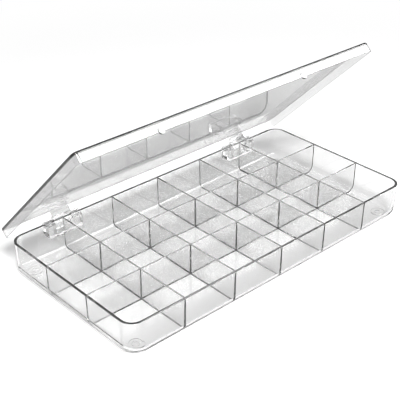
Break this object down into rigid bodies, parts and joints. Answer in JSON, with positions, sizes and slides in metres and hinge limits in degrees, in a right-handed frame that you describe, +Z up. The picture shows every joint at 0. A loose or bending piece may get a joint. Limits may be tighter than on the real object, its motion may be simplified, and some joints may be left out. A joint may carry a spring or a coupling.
{
  "type": "parts sorting tray",
  "caption": "Clear hinged plastic tray with a grid of square compartments and a shallow lid that laps over its rim.",
  "frame": {"origin": "under the middle of the tray, on the plane that its four ring feet stand on", "axes": "+X to the right along the line of the hinges, +Y to the back where the hinges are, +Z up out of the compartments"},
  "size_m": [0.2076, 0.1097, 0.0987],
  "materials": {
    "clear_tray": "clear crystal polystyrene, polished moulding",
    "clear_lid": "clear crystal polystyrene, polished moulding"
  },
  "bodies": {
    "tray": {"tray_floor": "clear_tray", "tray_walls": "clear_tray", "long_divider_front": "clear_tray", "long_divider_rear": "clear_tray", "cross_divider_1": "clear_tray", "cross_divider_2": "clear_tray", "cross_divider_3": "clear_tray", "cross_divider_4": "clear_tray", "cross_divider_5": "clear_tray", "foot_front_left": "clear_tray", "foot_front_right": "clear_tray", "foot_rear_left": "clear_tray", "foot_rear_right": "clear_tray", "hinge_bracket_left": "clear_tray", "hinge_bracket_right": "clear_tray"},
    "lid": {"lid_panel": "clear_lid", "lid_skirt": "clear_lid", "hinge_knuckle_left": "clear_lid", "hinge_knuckle_right": "clear_lid", "thumb_nub_left": "clear_lid", "thumb_nub_right": "clear_lid"}
  },
  "joints": [
    {"name": "lid_hinge", "type": "hinge", "parent": "tray", "child": "lid", "pos_m": [0, 0.05515, 0.0177], "axis": [-1, 0, 0], "range_deg": [-45.2, 134.8]}
  ]
}
